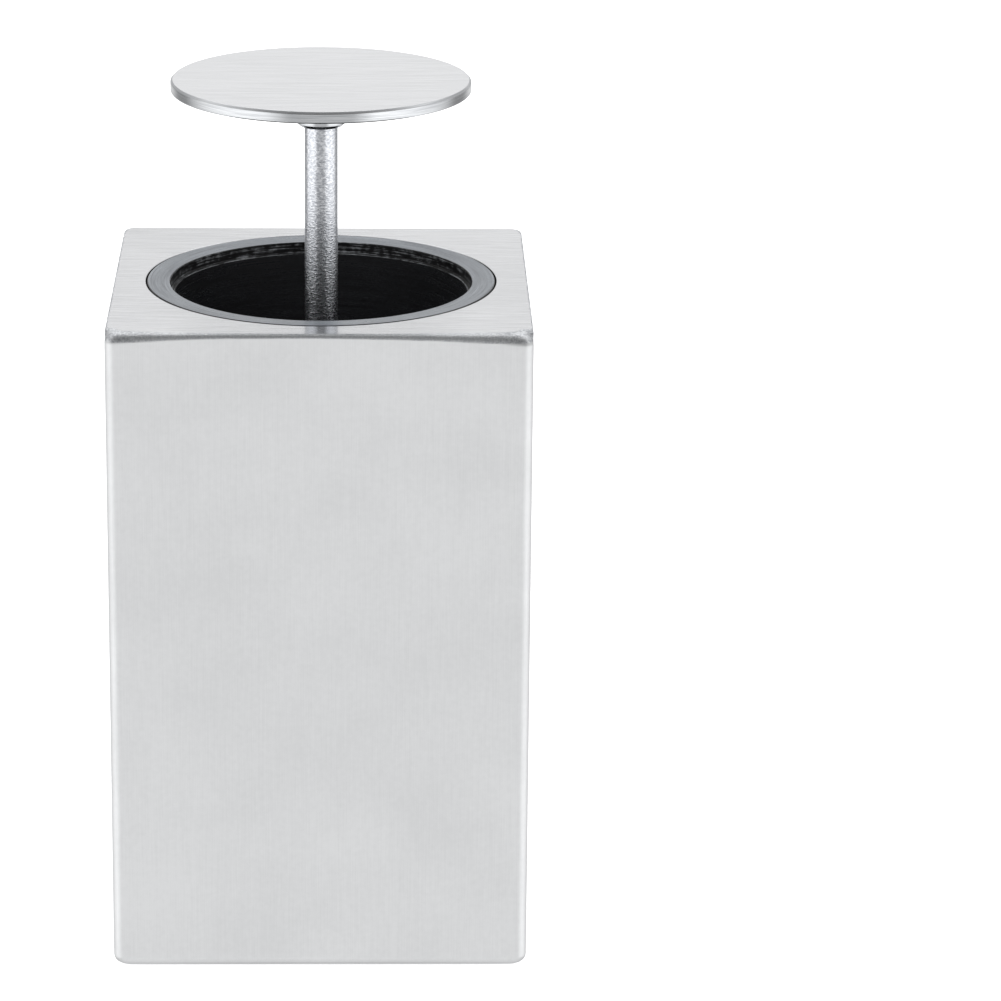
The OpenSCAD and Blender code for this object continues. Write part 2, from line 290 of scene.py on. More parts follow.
def feed(tree, node, **given):
    """Fills inputs of a node. A key names an input, as in Base_Color, or numbers it, as in _0, and
    holds its value or the output that feeds it."""
    for key, value in given.items():
        socket = node.inputs[int(key[1:]) if key[0] == "_" else key.replace("_", " ")]
        if isinstance(value, bpy.types.NodeSocket):
            tree.links.new(value, socket)
        else:
            socket.default_value = value


def add(tree, kind, **given):
    """Adds a node. A lower-case key is a setting of the node, and the others are its inputs."""
    node = tree.nodes.new(kind)
    settings = [key for key in given if key[0].islower()]
    for key in settings:
        setattr(node, key, given.pop(key))
    feed(tree, node, **given)
    return node


def new_finish(name):
    """An empty material, its node tree and its surface shader."""
    material = bpy.data.materials.new(name)
    material.use_nodes = True
    tree = material.node_tree
    return material, tree, tree.nodes["Principled BSDF"]


print("middle grey #808080 is", round(linear("#808080")[0], 3), "in linear light")

# %% Patterns
def cells(tree, size_mm, detail=2.0, place=None):
    """Noise whose cells measure (x, y, z) mm on the piece, from about 0.3 to 0.7."""
    if place is None:
        place = add(tree, "ShaderNodeTexCoord").outputs["Object"]
    stretch = [1 / (size * MM) for size in size_mm]
    scaled = add(tree, "ShaderNodeVectorMath", operation="MULTIPLY", _0=place, _1=stretch)
    field = add(tree, "ShaderNodeTexNoise", Vector=scaled.outputs[0], Scale=1.0, Detail=detail)
    return field.outputs["Fac"]


def weighted(tree, *parts):
    """Sum of (output, weight) pairs."""
    total = 0.0
    for output, weight in parts:
        step = add(tree, "ShaderNodeMath", operation="MULTIPLY_ADD", _0=output, _1=weight, _2=total)
        total = step.outputs[0]
    return total


def spread(tree, value, low, high, to_low, to_high):
    """Maps low to high onto to_low to to_high, and stops there."""
    node = add(tree, "ShaderNodeMapRange", Value=value, From_Min=low, From_Max=high, To_Min=to_low,
               To_Max=to_high)
    return node.outputs[0]


def between(tree, share, first, second):
    """Colour that goes from first to second. Each is a hex colour or an output."""
    ends = [linear(end) if isinstance(end, str) else end for end in (first, second)]
    mix = add(tree, "ShaderNodeMix", data_type="RGBA", Factor=share, _6=ends[0], _7=ends[1])
    return mix.outputs[2]


def relief(tree, height, depth_mm):
    """Bump of a real depth."""
    return add(tree, "ShaderNodeBump", Height=height, Distance=depth_mm * MM).outputs[0]


def from_axis(tree, place):
    """Distance from the axis of the cup."""
    flat = add(tree, "ShaderNodeVectorMath", operation="MULTIPLY", _0=place, _1=(1, 1, 0))
    return add(tree, "ShaderNodeVectorMath", operation="LENGTH", _0=flat.outputs[0]).outputs[1]


# %% [markdown]
# ## Brushed stainless steel
# Housing and lid are chromium-nickel steel, drawn along an abrasive belt. The belt leaves fine
# parallel scratches. Light that falls on them spreads across the scratches and hardly along
# them, so a reflection smears one way and stays sharp the other. An anisotropic shader does
# just that. The scratches run up the walls, and from left to right on the top plate and the lid.
# A real scratch is about 0.02 mm wide, too fine for the render, so the grain is drawn at 0.12 mm.

# %% Brushed stainless steel
GRAIN = 0.12
LEVEL_GRAIN = 0.24       # coarser still, because the level faces are seen at a slant
GRAIN_LENGTH = 7.0
UPRIGHT = (GRAIN, GRAIN, GRAIN_LENGTH)
LEVEL = (GRAIN_LENGTH, LEVEL_GRAIN, LEVEL_GRAIN)
MOTTLE = (0.7, 0.7, 0.7)     # patches where the belt bit more or less
CLOUD = (15, 15, 11)         # broad waves that the rolling mill left in the sheet
STEEL_TONES = (0.28, 0.48)   # span of the summed pattern that goes from dark to light
POLISH_SWING = 0.006         # how far the roughness follows the tone


def brushed_steel(name, grain_mm, across, dark, light, roughness, depth_mm, shares):
    """Steel with its grain stretched to grain_mm. across is the axis round which the shader's tangent
    turns, and shares are the weights of grain, mottle and clouds, which add up to 0.76."""
    material, tree, shader = new_finish(name)
    fine = cells(tree, grain_mm, 1)
    mottle = cells(tree, MOTTLE, 2)
    cloud = cells(tree, CLOUD, 2.5)
    tone = weighted(tree, *zip((fine, mottle, cloud), shares))
    brightness = spread(tree, tone, *STEEL_TONES, 0, 1)
    matt, glossy = roughness + POLISH_SWING, roughness - POLISH_SWING
    tangent = add(tree, "ShaderNodeTangent", direction_type="RADIAL", axis=across)
    feed(tree, shader, Metallic=1.0, Anisotropic=0.9, Tangent=tangent.outputs[0],
         Base_Color=between(tree, brightness, dark, light),
         Roughness=spread(tree, tone, *STEEL_TONES, matt, glossy), Normal=relief(tree, fine, depth_mm))
    return material


wall_steel = brushed_steel("steel_brushed_upright", UPRIGHT, "Z", "#d9dadb", "#e1e2e3", 0.40, 0.0008,
                           (0.2, 0.2, 0.36))
plate_steel = brushed_steel("steel_brushed_level", LEVEL, "X", "#d7d8da", "#e7e8ea", 0.2, 0.0006,
                            (0.5, 0.1, 0.16))
lid_steel = brushed_steel("steel_brushed_lid", LEVEL, "X", "#e4e5e7", "#eff0f2", 0.2, 0.0006,
                          (0.5, 0.1, 0.16))
print("brushed:", [finish.name for finish in (wall_steel, plate_steel, lid_steel)])

# %% [markdown]
# ## Ground weld
# The top plate is welded to the walls all round. The weld is ground away by hand and the edge
# eased with the same wheel, so it has no grain of its own: it is matt and speckled, and its
# width wanders. The eye reads it as a thin dark line under a bright one. The marks of the wheel
# are about 0.05 mm wide, too fine to show, and are drawn at 0.25 mm. Towards the corners and
# along the sides the colour is painted darker: painted shade that deepens the reflected dark line there.

# %% Ground weld
GRIT = (0.25, 0.25, 0.25)
PATCH = (2.5, 2.5, 1.0)
PAINTED_SHADE_FROM = 18         # distances from the middle between which the weld is painted darker, as painted shade, in mm
PAINTED_SHADE_TO = 24


def ground_weld(name):
    material, tree, shader = new_finish(name)
    grit = cells(tree, GRIT, 3)
    patch = cells(tree, PATCH, 2)
    tone = weighted(tree, (grit, 0.6), (patch, 0.4))
    place = add(tree, "ShaderNodeTexCoord").outputs["Object"]
    along_x = add(tree, "ShaderNodeSeparateXYZ", Vector=place).outputs[0]
    from_middle = add(tree, "ShaderNodeMath", operation="ABSOLUTE", _0=along_x).outputs[0]
    painted_shade = spread(tree, from_middle, PAINTED_SHADE_FROM * MM, PAINTED_SHADE_TO * MM, 0, 1)
    # painted shade: the weld's colour darkens towards the corners and along the sides
    dark = between(tree, painted_shade, "#d3d5d8", "#b0b2b6")
    feed(tree, shader, Metallic=1.0,
         Base_Color=between(tree, spread(tree, tone, 0.4, 0.6, 0, 1), dark, "#e6e8ea"),
         Roughness=spread(tree, tone, 0.35, 0.65, 0.54, 0.42), Normal=relief(tree, grit, 0.04))
    return material


weld_steel = ground_weld("steel_ground_weld")
print("weld:", weld_steel.name)

# %% [markdown]
# ## Blasted and turned steel
# The rod is drawn bar, blasted with fine beads so that it slides without showing every finger
# mark. Each bead leaves a pit of about 0.2 mm. The pits are drawn wider than they are high, so
# they tip the reflection up and down, between the bright table and the dark room above it, and
# sparkle one by one. Above the rim, where fingers reach, they are worn nearly smooth. The collar
# is simply turned and stays bright, and the upper bevel of the lid is eased with a cloth.

# %% Blasted rod
WORN_FROM = 80           # heights between which the rod goes from fresh to worn smooth, in mm
WORN_TO = 90
WORN_DEPTH = 0.35        # share of a pit's depth that is left where the rod is worn
PITS = (0.36, 0.36, 0.17)
DRAWN = (0.2, 0.2, 6)    # faint lines left from drawing the bar


def blasted_steel(name):
    material, tree, shader = new_finish(name)
    pits = cells(tree, PITS, 2)
    drawn = cells(tree, DRAWN, 2)
    place = add(tree, "ShaderNodeTexCoord").outputs["Object"]
    height = add(tree, "ShaderNodeSeparateXYZ", Vector=place).outputs[2]
    kept = spread(tree, height, WORN_FROM * MM, WORN_TO * MM, 1, WORN_DEPTH)
    deep = add(tree, "ShaderNodeMath", operation="MULTIPLY", _0=pits, _1=kept).outputs[0]
    tone = weighted(tree, (pits, 0.9), (drawn, 0.1))
    tangent = add(tree, "ShaderNodeTangent", direction_type="RADIAL", axis="Z")
    feed(tree, shader, Metallic=1.0, Anisotropic=0.5, Anisotropic_Rotation=0.25,
         Tangent=tangent.outputs[0],
         Base_Color=between(tree, spread(tree, tone, 0.4, 0.6, 0, 1), "#bdc0c6", "#e6e8ec"),
         Roughness=spread(tree, tone, 0.35, 0.65, 0.31, 0.25), Normal=relief(tree, deep, 0.1))
    return material


rod_steel = blasted_steel("steel_bead_blasted")
print("rod:", rod_steel.name, "worn above", WORN_FROM, "mm")

# %% Turned collar and edges
LATHE_RINGS = (5, 5, 0.1)    # feed marks of the tool, drawn at their real 0.1 mm


def turned_steel(name, roughness):
    """Bright steel straight off the lathe: fine rings, which run level on an upright face."""
    material, tree, shader = new_finish(name)
    rings = cells(tree, LATHE_RINGS, 3)
    matt, glossy = roughness + 0.05, roughness - 0.05
    tangent = add(tree, "ShaderNodeTangent", direction_type="RADIAL", axis="Z")
    feed(tree, shader, Metallic=1.0, Anisotropic=0.5, Anisotropic_Rotation=0.25,
         Tangent=tangent.outputs[0],
         Base_Color=between(tree, spread(tree, rings, 0.35, 0.65, 0, 1), "#b9bbbe", "#d2d4d6"),
         Roughness=spread(tree, rings, 0.35, 0.65, matt, glossy), Normal=relief(tree, rings, 0.004))
    return material


bright_steel = turned_steel("steel_bright_turned", 0.2)
eased_steel = turned_steel("steel_edge_eased", 0.42)
print("turned:", bright_steel.name, eased_steel.name)

# %% [markdown]
# ## Turned black plastic
# The cup is a tube of black acetal, turned inside and out. Acetal is tough and slippery, which
# is what a sliding lifter asks for. The deep bore looks black, with a few faint rings where the
# tool paused. The rim was faced last with a fine cut, and there the same plastic is painted mid
# grey: a painted sheen that stands in for the room that the rim reflects. The cut's rings are about 0.1 mm
# apart and show on the rim as they are. In the dark bore they would vanish, so there they are drawn 0.3 mm
# apart.

# %% Turned black plastic
PITTING = (0.4, 0.4, 0.4)


def turned_plastic(name, dark, light, roughness, ring_mm, depth_mm, face):
    """face is True for a level face, whose rings spread from the axis, and False for a bore."""
    material, tree, shader = new_finish(name)
    place = add(tree, "ShaderNodeTexCoord").outputs["Object"]
    if face:
        x, y, _ = add(tree, "ShaderNodeSeparateXYZ", Vector=place).outputs
        ringed = add(tree, "ShaderNodeCombineXYZ", X=from_axis(tree, place), Y=x, Z=y).outputs[0]
        rings = cells(tree, (ring_mm, 9, 9), 3, ringed)
    else:
        rings = cells(tree, (8, 8, ring_mm), 3)
    pits = cells(tree, PITTING, 2)
    tone = weighted(tree, (rings, 0.8), (pits, 0.2))
    matt, glossy = roughness + 0.06, roughness - 0.06
    feed(tree, shader, IOR=1.48,
         Base_Color=between(tree, spread(tree, tone, 0.42, 0.6, 0, 1), dark, light),
         Roughness=spread(tree, tone, 0.35, 0.65, matt, glossy), Normal=relief(tree, rings, depth_mm))
    return material


bore_plastic = turned_plastic("acetal_black_turned", "#1d1d1f", "#27282a", 0.3, 0.3, 0.002, False)
# the rim's mid grey is a painted sheen: the room's reflection painted into the colour of black acetal
rim_plastic_painted_sheen = turned_plastic("acetal_black_faced_painted_sheen", "#5a5f66", "#82888f", 0.3, 0.12, 0.003, True)
dish_plastic = turned_plastic("acetal_black_dished", "#0d0d0e", "#1c1d1e", 0.4, 0.2, 0.004, True)
print("acetal:", [finish.name for finish in (bore_plastic, rim_plastic_painted_sheen, dish_plastic)])

# %% [markdown]
# ## The scuffed mouth
# The lid rubs on the short wall and the ledge that it sinks into. Each rub leaves a pale, broken
# scratch that runs round the mouth. One coordinate, height plus radius, runs across both the
# upright wall and the level ledge, so the same scratches serve both. A scratch is about 0.05 mm
# wide, too fine to show, and is drawn at 0.13 mm. The lip of the ledge is worn palest.

# %% Scuffed black plastic
SCRATCH = (4, 4, 0.13)
WORN_SPOT = (0.8, 0.8, 0.8)
LEDGE_LINE = TOP_Z - LID_T + BORE_R      # height plus radius at the ledge's inner edge
LIP_SOFT = 0.12                          # how far from that line the worn lip is felt


def scuffed(name):
    """Black with pale, broken scratches round it."""
    material, tree, shader = new_finish(name)
    place = add(tree, "ShaderNodeTexCoord").outputs["Object"]
    x, y, z = add(tree, "ShaderNodeSeparateXYZ", Vector=place).outputs
    inward = add(tree, "ShaderNodeMath", operation="ADD", _0=z, _1=from_axis(tree, place)).outputs[0]
    round_it = add(tree, "ShaderNodeCombineXYZ", X=x, Y=y, Z=inward).outputs[0]
    scratch = cells(tree, SCRATCH, 3, round_it)
    worn = cells(tree, WORN_SPOT, 2)
    lip = spread(tree, inward, (LEDGE_LINE - LIP_SOFT) * MM, (LEDGE_LINE + LIP_SOFT) * MM, 0.1, 0)
    tone = weighted(tree, (scratch, 0.65), (worn, 0.35), (lip, 1.0))
    feed(tree, shader, Specular_IOR_Level=0.25,
         Base_Color=between(tree, spread(tree, tone, 0.52, 0.67, 0, 1), "#0f0f10", "#888b8e"),
         Roughness=spread(tree, tone, 0.4, 0.6, 0.3, 0.5), Normal=relief(tree, scratch, 0.006))
    return material


scuffed_plastic = scuffed("acetal_black_scuffed")
print("mouth:", scuffed_plastic.name)

# %% [markdown]
# ## Rubber, foam and screws
# What stays out of sight still gets its own finish, because the model can be taken apart. Moulded
# rubber is matt with fine pores, and foam is coarser. The pores are drawn at 0.2 to 0.35 mm,
# somewhat larger than life, so that they show at all.

# %% Rubber and foam
def matt_finish(name, dark, light, roughness, pore_mm, depth_mm):
    """A matt material with fine pores."""
    material, tree, shader = new_finish(name)
    pores = cells(tree, (pore_mm,) * 3, 3)
    matt, glossy = roughness + 0.05, roughness - 0.05
    feed(tree, shader, Base_Color=between(tree, spread(tree, pores, 0.35, 0.65, 0, 1), dark, light),
         Roughness=spread(tree, pores, 0.35, 0.65, matt, glossy), Normal=relief(tree, pores, depth_mm))
    return material


pad_rubber = matt_finish("silicone_rubber_black", "#1f1f20", "#2d2d2e", 0.7, 0.3, 0.02)
ring_rubber = matt_finish("nitrile_rubber_black", "#161617", "#202021", 0.45, 0.2, 0.005)
foam = matt_finish("acrylic_foam_grey", "#7f8286", "#989b9f", 0.9, 0.35, 0.1)
print("soft:", [finish.name for finish in (pad_rubber, ring_rubber, foam)])

# %% [markdown]
# ## The walls
# One strip of sheet is folded round and its ends meet at the rear right corner, where a thin
# groove is left. Along the bottom the sheet bends under and ends in a short lip. The mesh
# follows the fold: each ring of points is the square outline, drawn in by the bend.
# Near the top the edge has been eased by hand, most of all at the corners, so the rounding
# there is a function of the place and not one number.

# %% Outline of the housing
FLAT_STEPS = 40
CORNER_ANGLES = [90 * i / 8 for i in range(9)]
SEAM_HALF = math.degrees(SEAM_W / 2 / CORNER_R)
SEAM_LIP = 3             # last step before the groove, in degrees
SEAM_ANGLES = [0, 12, 24, 45 - SEAM_HALF - SEAM_LIP, 45 - SEAM_HALF, 45 - SEAM_HALF, 45 + SEAM_HALF,
               45 + SEAM_HALF, 45 + SEAM_HALF + SEAM_LIP, 66, 78, 90]
SEAM_BOTTOM = (5, 6)     # which of these angles lie at the bottom of the groove


def outline(with_seam):
    """Points round the housing: (core x, core y, outward x, outward y, depth of the seam)."""
    core = HALF - CORNER_R
    points = []
    for quarter in range(4):
        turn = Matrix.Rotation(quarter * math.pi / 2, 2)
        for step in range(FLAT_STEPS):
            along = core * (2 * step / FLAT_STEPS - 1)
            points.append((turn @ Vector((core, along)), turn @ Vector((1, 0)), 0.0))
        angles = SEAM_ANGLES if with_seam and quarter == 0 else CORNER_ANGLES
        for index, angle in enumerate(angles[:-1]):
            out = Vector((math.cos(math.radians(angle)), math.sin(math.radians(angle))))
            deep = SEAM_DEPTH if angles is SEAM_ANGLES and index in SEAM_BOTTOM else 0.0
            points.append((turn @ Vector((core, core)), turn @ out, deep))
    return points


print("outline with seam:", len(outline(with_seam=True)), "points")

# %% The hand-eased top edge
FRONT_EASE = [           # (place from left to right, rounding) along the front edge, in mm
    (-25, 1.4), (-22, 1.15), (-18, 0.9), (-12, 0.6), (0, 0.5), (8, 0.62), (16, 0.95), (21, 1.2),
    (25, 1.75)]
REAR_EASE = 0.5          # rounding along the rear edge
SIDE_EASE = 0.22         # rounding along the two side edges
SIDE_REACH = 0.8         # how far back a front corner's rounding is felt on the side
EASE_WANDER = 0.1        # how much the hand wandered, as a share of the rounding
SLOW_WANDER = 5          # lengths over which it wandered, in mm
QUICK_WANDER = 1.5


def along(knots, place):
    """Value at a place, on the straight lines between (place, value) knots."""
    for (start, first), (end, last) in zip(knots, knots[1:]):
        if place <= end:
            share = max(0.0, (place - start) / (end - start))
            return first + share * (last - first)
    return knots[-1][1]


def ease_radius(core):
    """Radius of the top edge at one place of the outline."""
    limit = HALF - CORNER_R
    front = along(FRONT_EASE, core.x)
    from_front = core.y + limit
    from_rear = limit - core.y
    radius = SIDE_EASE + (front - SIDE_EASE) * math.exp(-((from_front / SIDE_REACH) ** 2))
    radius += (REAR_EASE - SIDE_EASE) * math.exp(-((from_rear / SIDE_REACH) ** 2))
    slow = noise.noise(Vector((core.x / SLOW_WANDER, core.y / SLOW_WANDER, 0.5)))
    quick = noise.noise(Vector((core.x / QUICK_WANDER, core.y / QUICK_WANDER, 3)))
    return radius * (1 + EASE_WANDER * (slow + 0.6 * quick))


def draw_in(core, z):
    """How far the eased edge lies inside the flat of the wall at height z."""
    radius = ease_radius(core)
    rise = radius - (TOP_Z - z)
    return radius - math.sqrt(radius ** 2 - rise ** 2) if rise > 0 else 0.0


def ring(points, z, inset=0.0, seam=True):
    """The outline at height z, drawn in by inset, or by the eased edge where inset is None."""
    core_half = HALF - CORNER_R
    row = []
    for core, out, deep in points:
        inward = draw_in(core, z) if inset is None else inset
        place = core * (core_half - inward) / core_half + out * (CORNER_R - (deep if seam else 0.0))
        row.append((place.x, place.y, z))
    return row


print("front edge eased by", round(ease_radius(Vector((0, CORNER_R - HALF))), 2), "mm in the middle")

# %% Walls
BEND_STEPS = 10


def make_walls():
    points = outline(with_seam=True)
    bend = [math.radians(90 * i / BEND_STEPS) for i in range(BEND_STEPS + 1)]
    low = WALL_LOW.z
    rings = [ring(points, low + FOOT_BEND_R * (1 - math.sin(a)), FOOT_BEND_R * (1 - math.cos(a)))
             for a in bend]
    rings.reverse()      # from the underside up to the upright wall
    top_rows = [SEAT_Z - 1.2, SEAT_Z - 0.8, SEAT_Z - 0.5, SEAT_Z - 0.3, SEAT_Z - 0.12, SEAT_Z]
    rings += [ring(points, z) for z in (20, 40, 60, 74)]
    rings += [ring(points, z, None) for z in top_rows]
    inner_bend_r = FOOT_BEND_R - SHEET
    floor = low + SHEET
    rings += [ring(points, z, SHEET, seam=False) for z in (SEAT_Z, 40)]
    rings += [ring(points, floor + inner_bend_r * (1 - math.sin(a)),
                   SHEET + inner_bend_r * (1 - math.cos(a)), seam=False) for a in bend]
    lip_end = FOOT_BEND_R + LIP_W
    rings += [ring(points, floor, lip_end, seam=False), ring(points, low, lip_end, seam=False)]
    return lofted("folded_walls", rings)


walls = make_walls()
fit(walls, "wall_sleeve", "brushed_steel", wall_steel)

# %% [markdown]
# ## The top plate
# A square plate with one round hole. Its rings start as circles at the hole and end as the
# square outline, point by point in the same direction, so the faces between them stay simple.
# The faces of the eased edge take the ground-weld finish.

# %% Top plate
HOLE_EASE = 0.15
EDGE_ROWS = 14
WELD_FROM = 0.15         # rise of the normal from which the grinding wheel has left its finish


def circle_like(points, radius, z):
    """A circle with its points in the same directions as those of the outline."""
    row = []
    for core, out, _ in points:
        way = (core + out * CORNER_R).normalized() * radius
        row.append((way.x, way.y, z))
    return row


def make_top_plate():
    points = outline(with_seam=False)
    thick = TOP_Z - SEAT_Z
    hole = [(HOLE_R, SEAT_Z), (HOLE_R, TOP_Z - HOLE_EASE),
            (HOLE_R + HOLE_EASE / 3, TOP_Z - HOLE_EASE / 3), (HOLE_R + HOLE_EASE, TOP_Z)]
    rings = [circle_like(points, radius, height) for radius, height in hole]
    first_edge_row = len(rings)
    for row in range(EDGE_ROWS + 1):
        drop = 1 - math.cos(math.pi / 2 * row / EDGE_ROWS)
        rings.append(ring(points, TOP_Z - thick * drop, None))
    plate = lofted("top_plate_with_hole", rings)
    edge_faces = range(first_edge_row * len(points), (len(rings) - 1) * len(points))
    for index in edge_faces:
        face = plate.data.polygons[index]
        face.material_index = 1 if face.normal.z > WELD_FROM else 2
    return plate


plate = make_top_plate()
fit(plate, "top_plate", "brushed_steel", plate_steel, weld_steel, wall_steel)

# %% [markdown]
# ## The cup
# One outline gives the whole tube: the rim, the ledge that the lid sinks onto, the bore and,
# further down, the shoulder that stops the lifter. The screw holes in its foot are drilled
# after turning, as on the real piece.

# %% Cup
FLOOR_SCREWS = 4
FLOOR_SCREW_R = 0.75     # hole for a 1.4 mm screw
FLOOR_SCREW_DEEP = 7.3


def make_cup():
    out, top, foot = CUP_HIGH.x, CUP_HIGH.z, CUP_LOW.z
    inner_top = top - RIM_FALL
    ledge = top - LID_T - SEAT_GAP
    stop = LIFTER_HIGH.z + END_GAP
    cup = turned("turned_cup", [
        (SLIDE_R, foot, 0.05), (out, foot, 0.1), (out, top - RIM_CHAMFER, 0.04),
        (out - RIM_CHAMFER, top, 0.04), (MOUTH_R + RIM_CHAMFER, inner_top, 0.04),
        (MOUTH_R, inner_top - RIM_CHAMFER, 0.04), (MOUTH_R, ledge, 0.1), (BORE_R, ledge, 0.1),
        (BORE_R, stop, 0.05), (SLIDE_R, stop, 0.1)], 256)
    drill(cup, around(FLOOR_SCREWS, (SLIDE_R + out) / 2), FLOOR_SCREW_R, foot - 1, foot + FLOOR_SCREW_DEEP)
    for face in cup.data.polygons:
        height = face.center.z / MM
        # the rim's level face takes the black acetal painted mid grey, a painted sheen
        if height > inner_top - 0.05 and face.normal.z > 0.9:
            face.material_index = 1
        elif height > ledge - 0.2 and math.hypot(face.center.x, face.center.y) / MM < MOUTH_R + 0.15:
            face.material_index = 2
    return cup


cup = make_cup()
fit(cup, "cup_sleeve", "black_plastic", bore_plastic, rim_plastic_painted_sheen, scuffed_plastic)

# %% [markdown]
# ## Lid, collar and rod
# The lid is a thin disc with a small bevel on both edges. Its flat faces are brushed, and its
# rim is turned. The collar under it hides the joint between the lid's stud and the rod. The rod
# is tapped at both ends for the stud and for the lifter's screw.

# %% Lid
LID_BEVEL = 0.25         # wider than the drawn one, so that it still shows once it is rounded
LOW_BEVEL = 0.15


def make_lid():
    radius, low, high = LID_HIGH.x, LID_LOW.z, LID_HIGH.z
    lid = turned("lid_disc", [
        (0, low, 0), (radius - LOW_BEVEL, low, 0.03), (radius, low + LOW_BEVEL, 0.03),
        (radius, high - LID_BEVEL, 0.06), (radius - LID_BEVEL, high, 0.06), (0, high, 0)], 256, closed=False)
    for face in lid.data.polygons:
        if abs(face.normal.z) < 0.9:
            face.material_index = 2 if face.normal.z > 0.1 else 1
    return lid


lid = make_lid()
fit(lid, "lid", "brushed_steel", lid_steel, bright_steel, eased_steel)

# %% Collar and rod
COLLAR_BEVEL = 0.4
STUD_PASS_R = 1.4        # hole that the lid's stud passes through
TAP_R = 1.3
TAP_DEEP = 7.5

collar_r = COLLAR_HIGH.x
collar = turned("lid_collar", [
    (STUD_PASS_R, COLLAR_LOW.z, 0.05), (collar_r - COLLAR_BEVEL, COLLAR_LOW.z, 0.04),
    (collar_r, COLLAR_LOW.z + COLLAR_BEVEL, 0.04), (collar_r, COLLAR_HIGH.z, 0.08),
    (STUD_PASS_R, COLLAR_HIGH.z, 0.05)], 128)
fit(collar, "collar", "bright_steel", bright_steel)

rod_r = STEM_HIGH.x
rod = turned("lift_rod", [
    (0, STEM_LOW.z + TAP_DEEP, 0), (TAP_R, STEM_LOW.z + TAP_DEEP, 0), (TAP_R, STEM_LOW.z, 0.1),
    (rod_r, STEM_LOW.z, 0.2), (rod_r, STEM_HIGH.z, 0.15), (TAP_R, STEM_HIGH.z, 0.1),
    (TAP_R, STEM_HIGH.z - TAP_DEEP, 0), (0, STEM_HIGH.z - TAP_DEEP, 0)], 96, closed=False)
fit(rod, "stem", "bright_steel", rod_steel)

# %% [markdown]
# ## Lifter
# The plate that lifts what the cup holds is dished, so that the load leans to the rim, and hollow
# below. Its edge has a groove for the rubber ring, and four small holes let the air pass.

# %% Lifter
WEB_T = 2.2
DISH_DEEP = 1.2
LIP_TOP_W = 0.8
SKIRT_T = 3.6
DISH_PLATE_T = 1.7
FLAT_R = 5.5
HUB_R = 6.5
RECESS_R = 4.0
LIFTER_CHAMFER = 0.2
LIFTER_EASE = 0.12
RING_GAP = 0.05
RING_PLAY = 0.1
VENTS = 4
VENT_R = 0.6


def make_lifter():
    edge, foot, top = LIFTER_HIGH.x, LIFTER_LOW.z, LIFTER_HIGH.z
    hub = STEM_LOW.z
    recess = hub - WEB_T
    dish_r = edge - LIFTER_CHAMFER - LIP_TOP_W
    skirt_r = edge - SKIRT_T
    slope = DISH_DEEP / (dish_r - FLAT_R)
    groove_r = RING_HIGH.x - (RING_HIGH.z - RING_LOW.z) - RING_GAP
    soft = LIFTER_EASE
    lifter = turned("dished_lifter", [
        (STUD_PASS_R, recess, 0.05), (RECESS_R, recess, 0.1), (RECESS_R, foot, soft), (HUB_R, foot, soft),
        (HUB_R, hub + slope * (HUB_R - FLAT_R) - DISH_PLATE_T, 0.3),
        (skirt_r, hub + slope * (skirt_r - FLAT_R) - DISH_PLATE_T, 0.3), (skirt_r, foot, soft),
        (edge - LIFTER_CHAMFER, foot, soft), (edge, foot + LIFTER_CHAMFER, soft),
        (edge, RING_LOW.z - RING_PLAY, 0.08), (groove_r, RING_LOW.z - RING_PLAY, 0.08),
        (groove_r, RING_HIGH.z + RING_PLAY, 0.08), (edge, RING_HIGH.z + RING_PLAY, 0.08),
        (edge, top - LIFTER_CHAMFER, soft), (edge - LIFTER_CHAMFER, top, soft), (dish_r, top, 0.2),
        (FLAT_R, hub, 1.0), (STUD_PASS_R, hub, 0.05)], 192)
    drill(lifter, around(VENTS, (HUB_R + skirt_r) / 2), VENT_R, foot, top + 1)
    return lifter


lifter = make_lifter()
fit(lifter, "lifter", "black_plastic", dish_plastic)

# %% [markdown]
# ## Non-slip pad
# A soft pad sits between the folded lips and is what touches the table. Its underside is
# moulded in small square studs, which grip better than a plain face.

# %% Pad
STUD_PITCH = 2.0
STUD_SHARE = 0.62        # width of a stud as a share of the pitch
STUD_DEEP = 0.3
STUD_TAPER = 0.25        # how much narrower a stud's foot is
PAD_R = 2.0


def make_pad():
    """A rounded square block with studs joined on below, all in one closed mesh."""
    half, top = PAD_HIGH.x, PAD_HIGH.z
    core = half - PAD_R
    corners = [(x * core, y * core) for x, y in ((1, 1), (-1, 1), (-1, -1), (1, -1))]
    plan = [(cx + PAD_R * math.cos(a), cy + PAD_R * math.sin(a))
            for quarter, (cx, cy) in enumerate(corners)
            for a in [(quarter + i / 8) * math.pi / 2 for i in range(9)]]
    bm = bmesh.new()
    rows = [[bm.verts.new(Vector((x, y, z)) * MM) for x, y in plan] for z in (STUD_DEEP, top)]
    for i in range(len(plan)):
        j = (i + 1) % len(plan)
        bm.faces.new((rows[0][i], rows[0][j], rows[1][j], rows[1][i]))
    bm.faces.new(rows[1])
    bm.faces.new(rows[0])
    block = add_object("grip_pad", bm)
    bm = bmesh.new()
    count = int(2 * core / STUD_PITCH)
    width = STUD_PITCH * STUD_SHARE
    for column in range(count):
        for line in range(count):
            x, y = ((i - (count - 1) / 2) * STUD_PITCH for i in (column, line))
            place = Matrix.Translation(Vector((x, y, STUD_DEEP)) * MM)
            shape = Matrix.Diagonal((width, width, 2 * STUD_DEEP, 1))
            made = bmesh.ops.create_cube(bm, size=MM, matrix=place @ shape)
            for vert in made["verts"]:
                if vert.co.z < 0.5 * STUD_DEEP * MM:
                    vert.co.x += (x * MM - vert.co.x) * STUD_TAPER
                    vert.co.y += (y * MM - vert.co.y) * STUD_TAPER
    carve(block, add_object("studs", bm), "UNION")
    for face in block.data.polygons:
        face.use_smooth = False
    return block


pad = make_pad()
fit(pad, "nonslip_pad", "black_rubber", pad_rubber)

# %% [markdown]
# ## Pieces kept as drawn
# The base plate, the cup's floor, the foam and the fasteners have the right shape already. They
# only swap their plain CAD colour for a finish.

